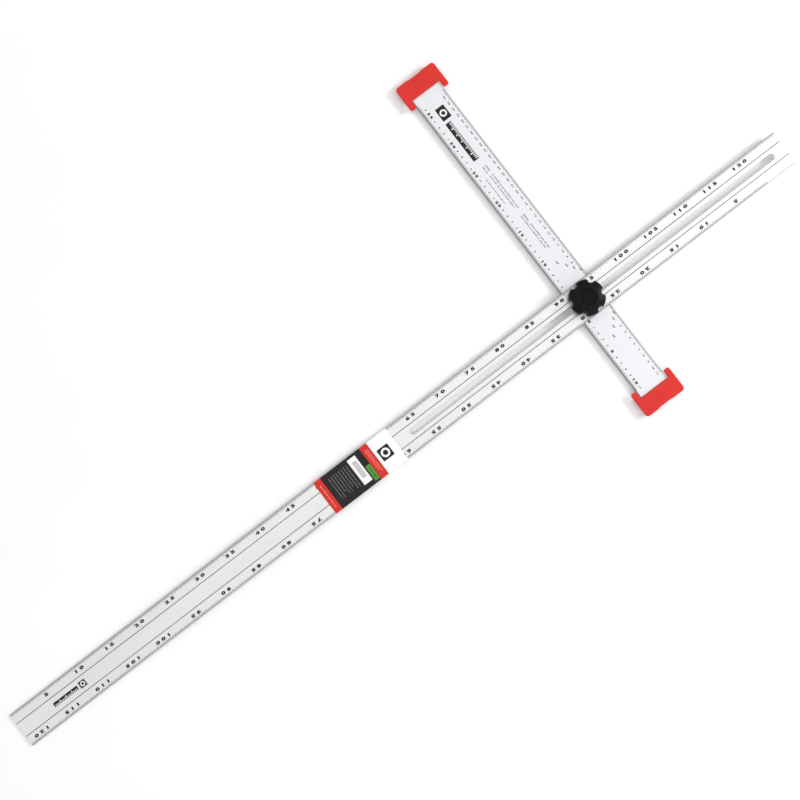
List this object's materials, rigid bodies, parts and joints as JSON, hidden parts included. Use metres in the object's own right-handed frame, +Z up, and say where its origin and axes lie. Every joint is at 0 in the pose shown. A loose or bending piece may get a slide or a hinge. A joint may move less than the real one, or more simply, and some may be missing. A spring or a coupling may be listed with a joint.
{
  "type": "t square",
  "caption": "Adjustable T-square: a slotted printed rule over a channel-section head with moulded end caps, clamped at any angle by a star knob.",
  "frame": {"origin": "on the pivot axis of the head, level with the head's underside", "axes": "+X along the blade towards its slotted end, +Y along the head's long arm, +Z up towards the knob"},
  "size_m": [1.275, 0.553, 0.0338],
  "materials": {
    "blade_aluminium": "satin anodised, brushed along its length",
    "head_aluminium": "satin anodised",
    "cap_plastic": "red, moulded, fine texture",
    "bolt_steel": "bright zinc plate",
    "slider_nylon": "dark nylon",
    "washer_steel": "bright zinc plate",
    "knob_plastic": "black, moulded, satin gloss",
    "insert_brass": "turned",
    "knob_cap_plastic": "black, smooth",
    "sleeve_card": "printed, lightly coated",
    "scale_ink": "black screen print"
  },
  "bodies": {
    "blade": {"blade": "blade_aluminium", "label_sleeve": "sleeve_card"},
    "slider": {"slot_slider": "slider_nylon"},
    "head": {"head_rule": "head_aluminium", "end_cap_long": "cap_plastic", "end_cap_short": "cap_plastic", "clamp_bolt": "bolt_steel"},
    "washer": {"knob_washer": "washer_steel"},
    "knob": {"knob_body": "knob_plastic", "knob_insert": "insert_brass", "knob_cap": "knob_cap_plastic"}
  },
  "joints": [
    {"name": "blade_slide", "type": "slide", "parent": "blade", "child": "slider", "axis": [1, 0, 0], "range_m": [-0.2895, 0.3125]},
    {"name": "head_swivel", "type": "hinge", "parent": "slider", "child": "head", "pos_m": [0, 0, 0], "axis": [0, 0, 1], "range_deg": [-66, 66]},
    {"name": "washer_lift", "type": "slide", "parent": "head", "child": "washer", "axis": [0, 0, 1], "range_m": [0, 0.001]},
    {"name": "knob_turn", "type": "hinge", "parent": "washer", "child": "knob", "pos_m": [0, 0, 0.0128], "axis": [0, 0, 1], "range_deg": [0, 360]}
  ],
  "couplings": [
    {"joint": "knob_turn", "follows": "washer_lift", "rad_per_m": 6283.1}
  ]
}
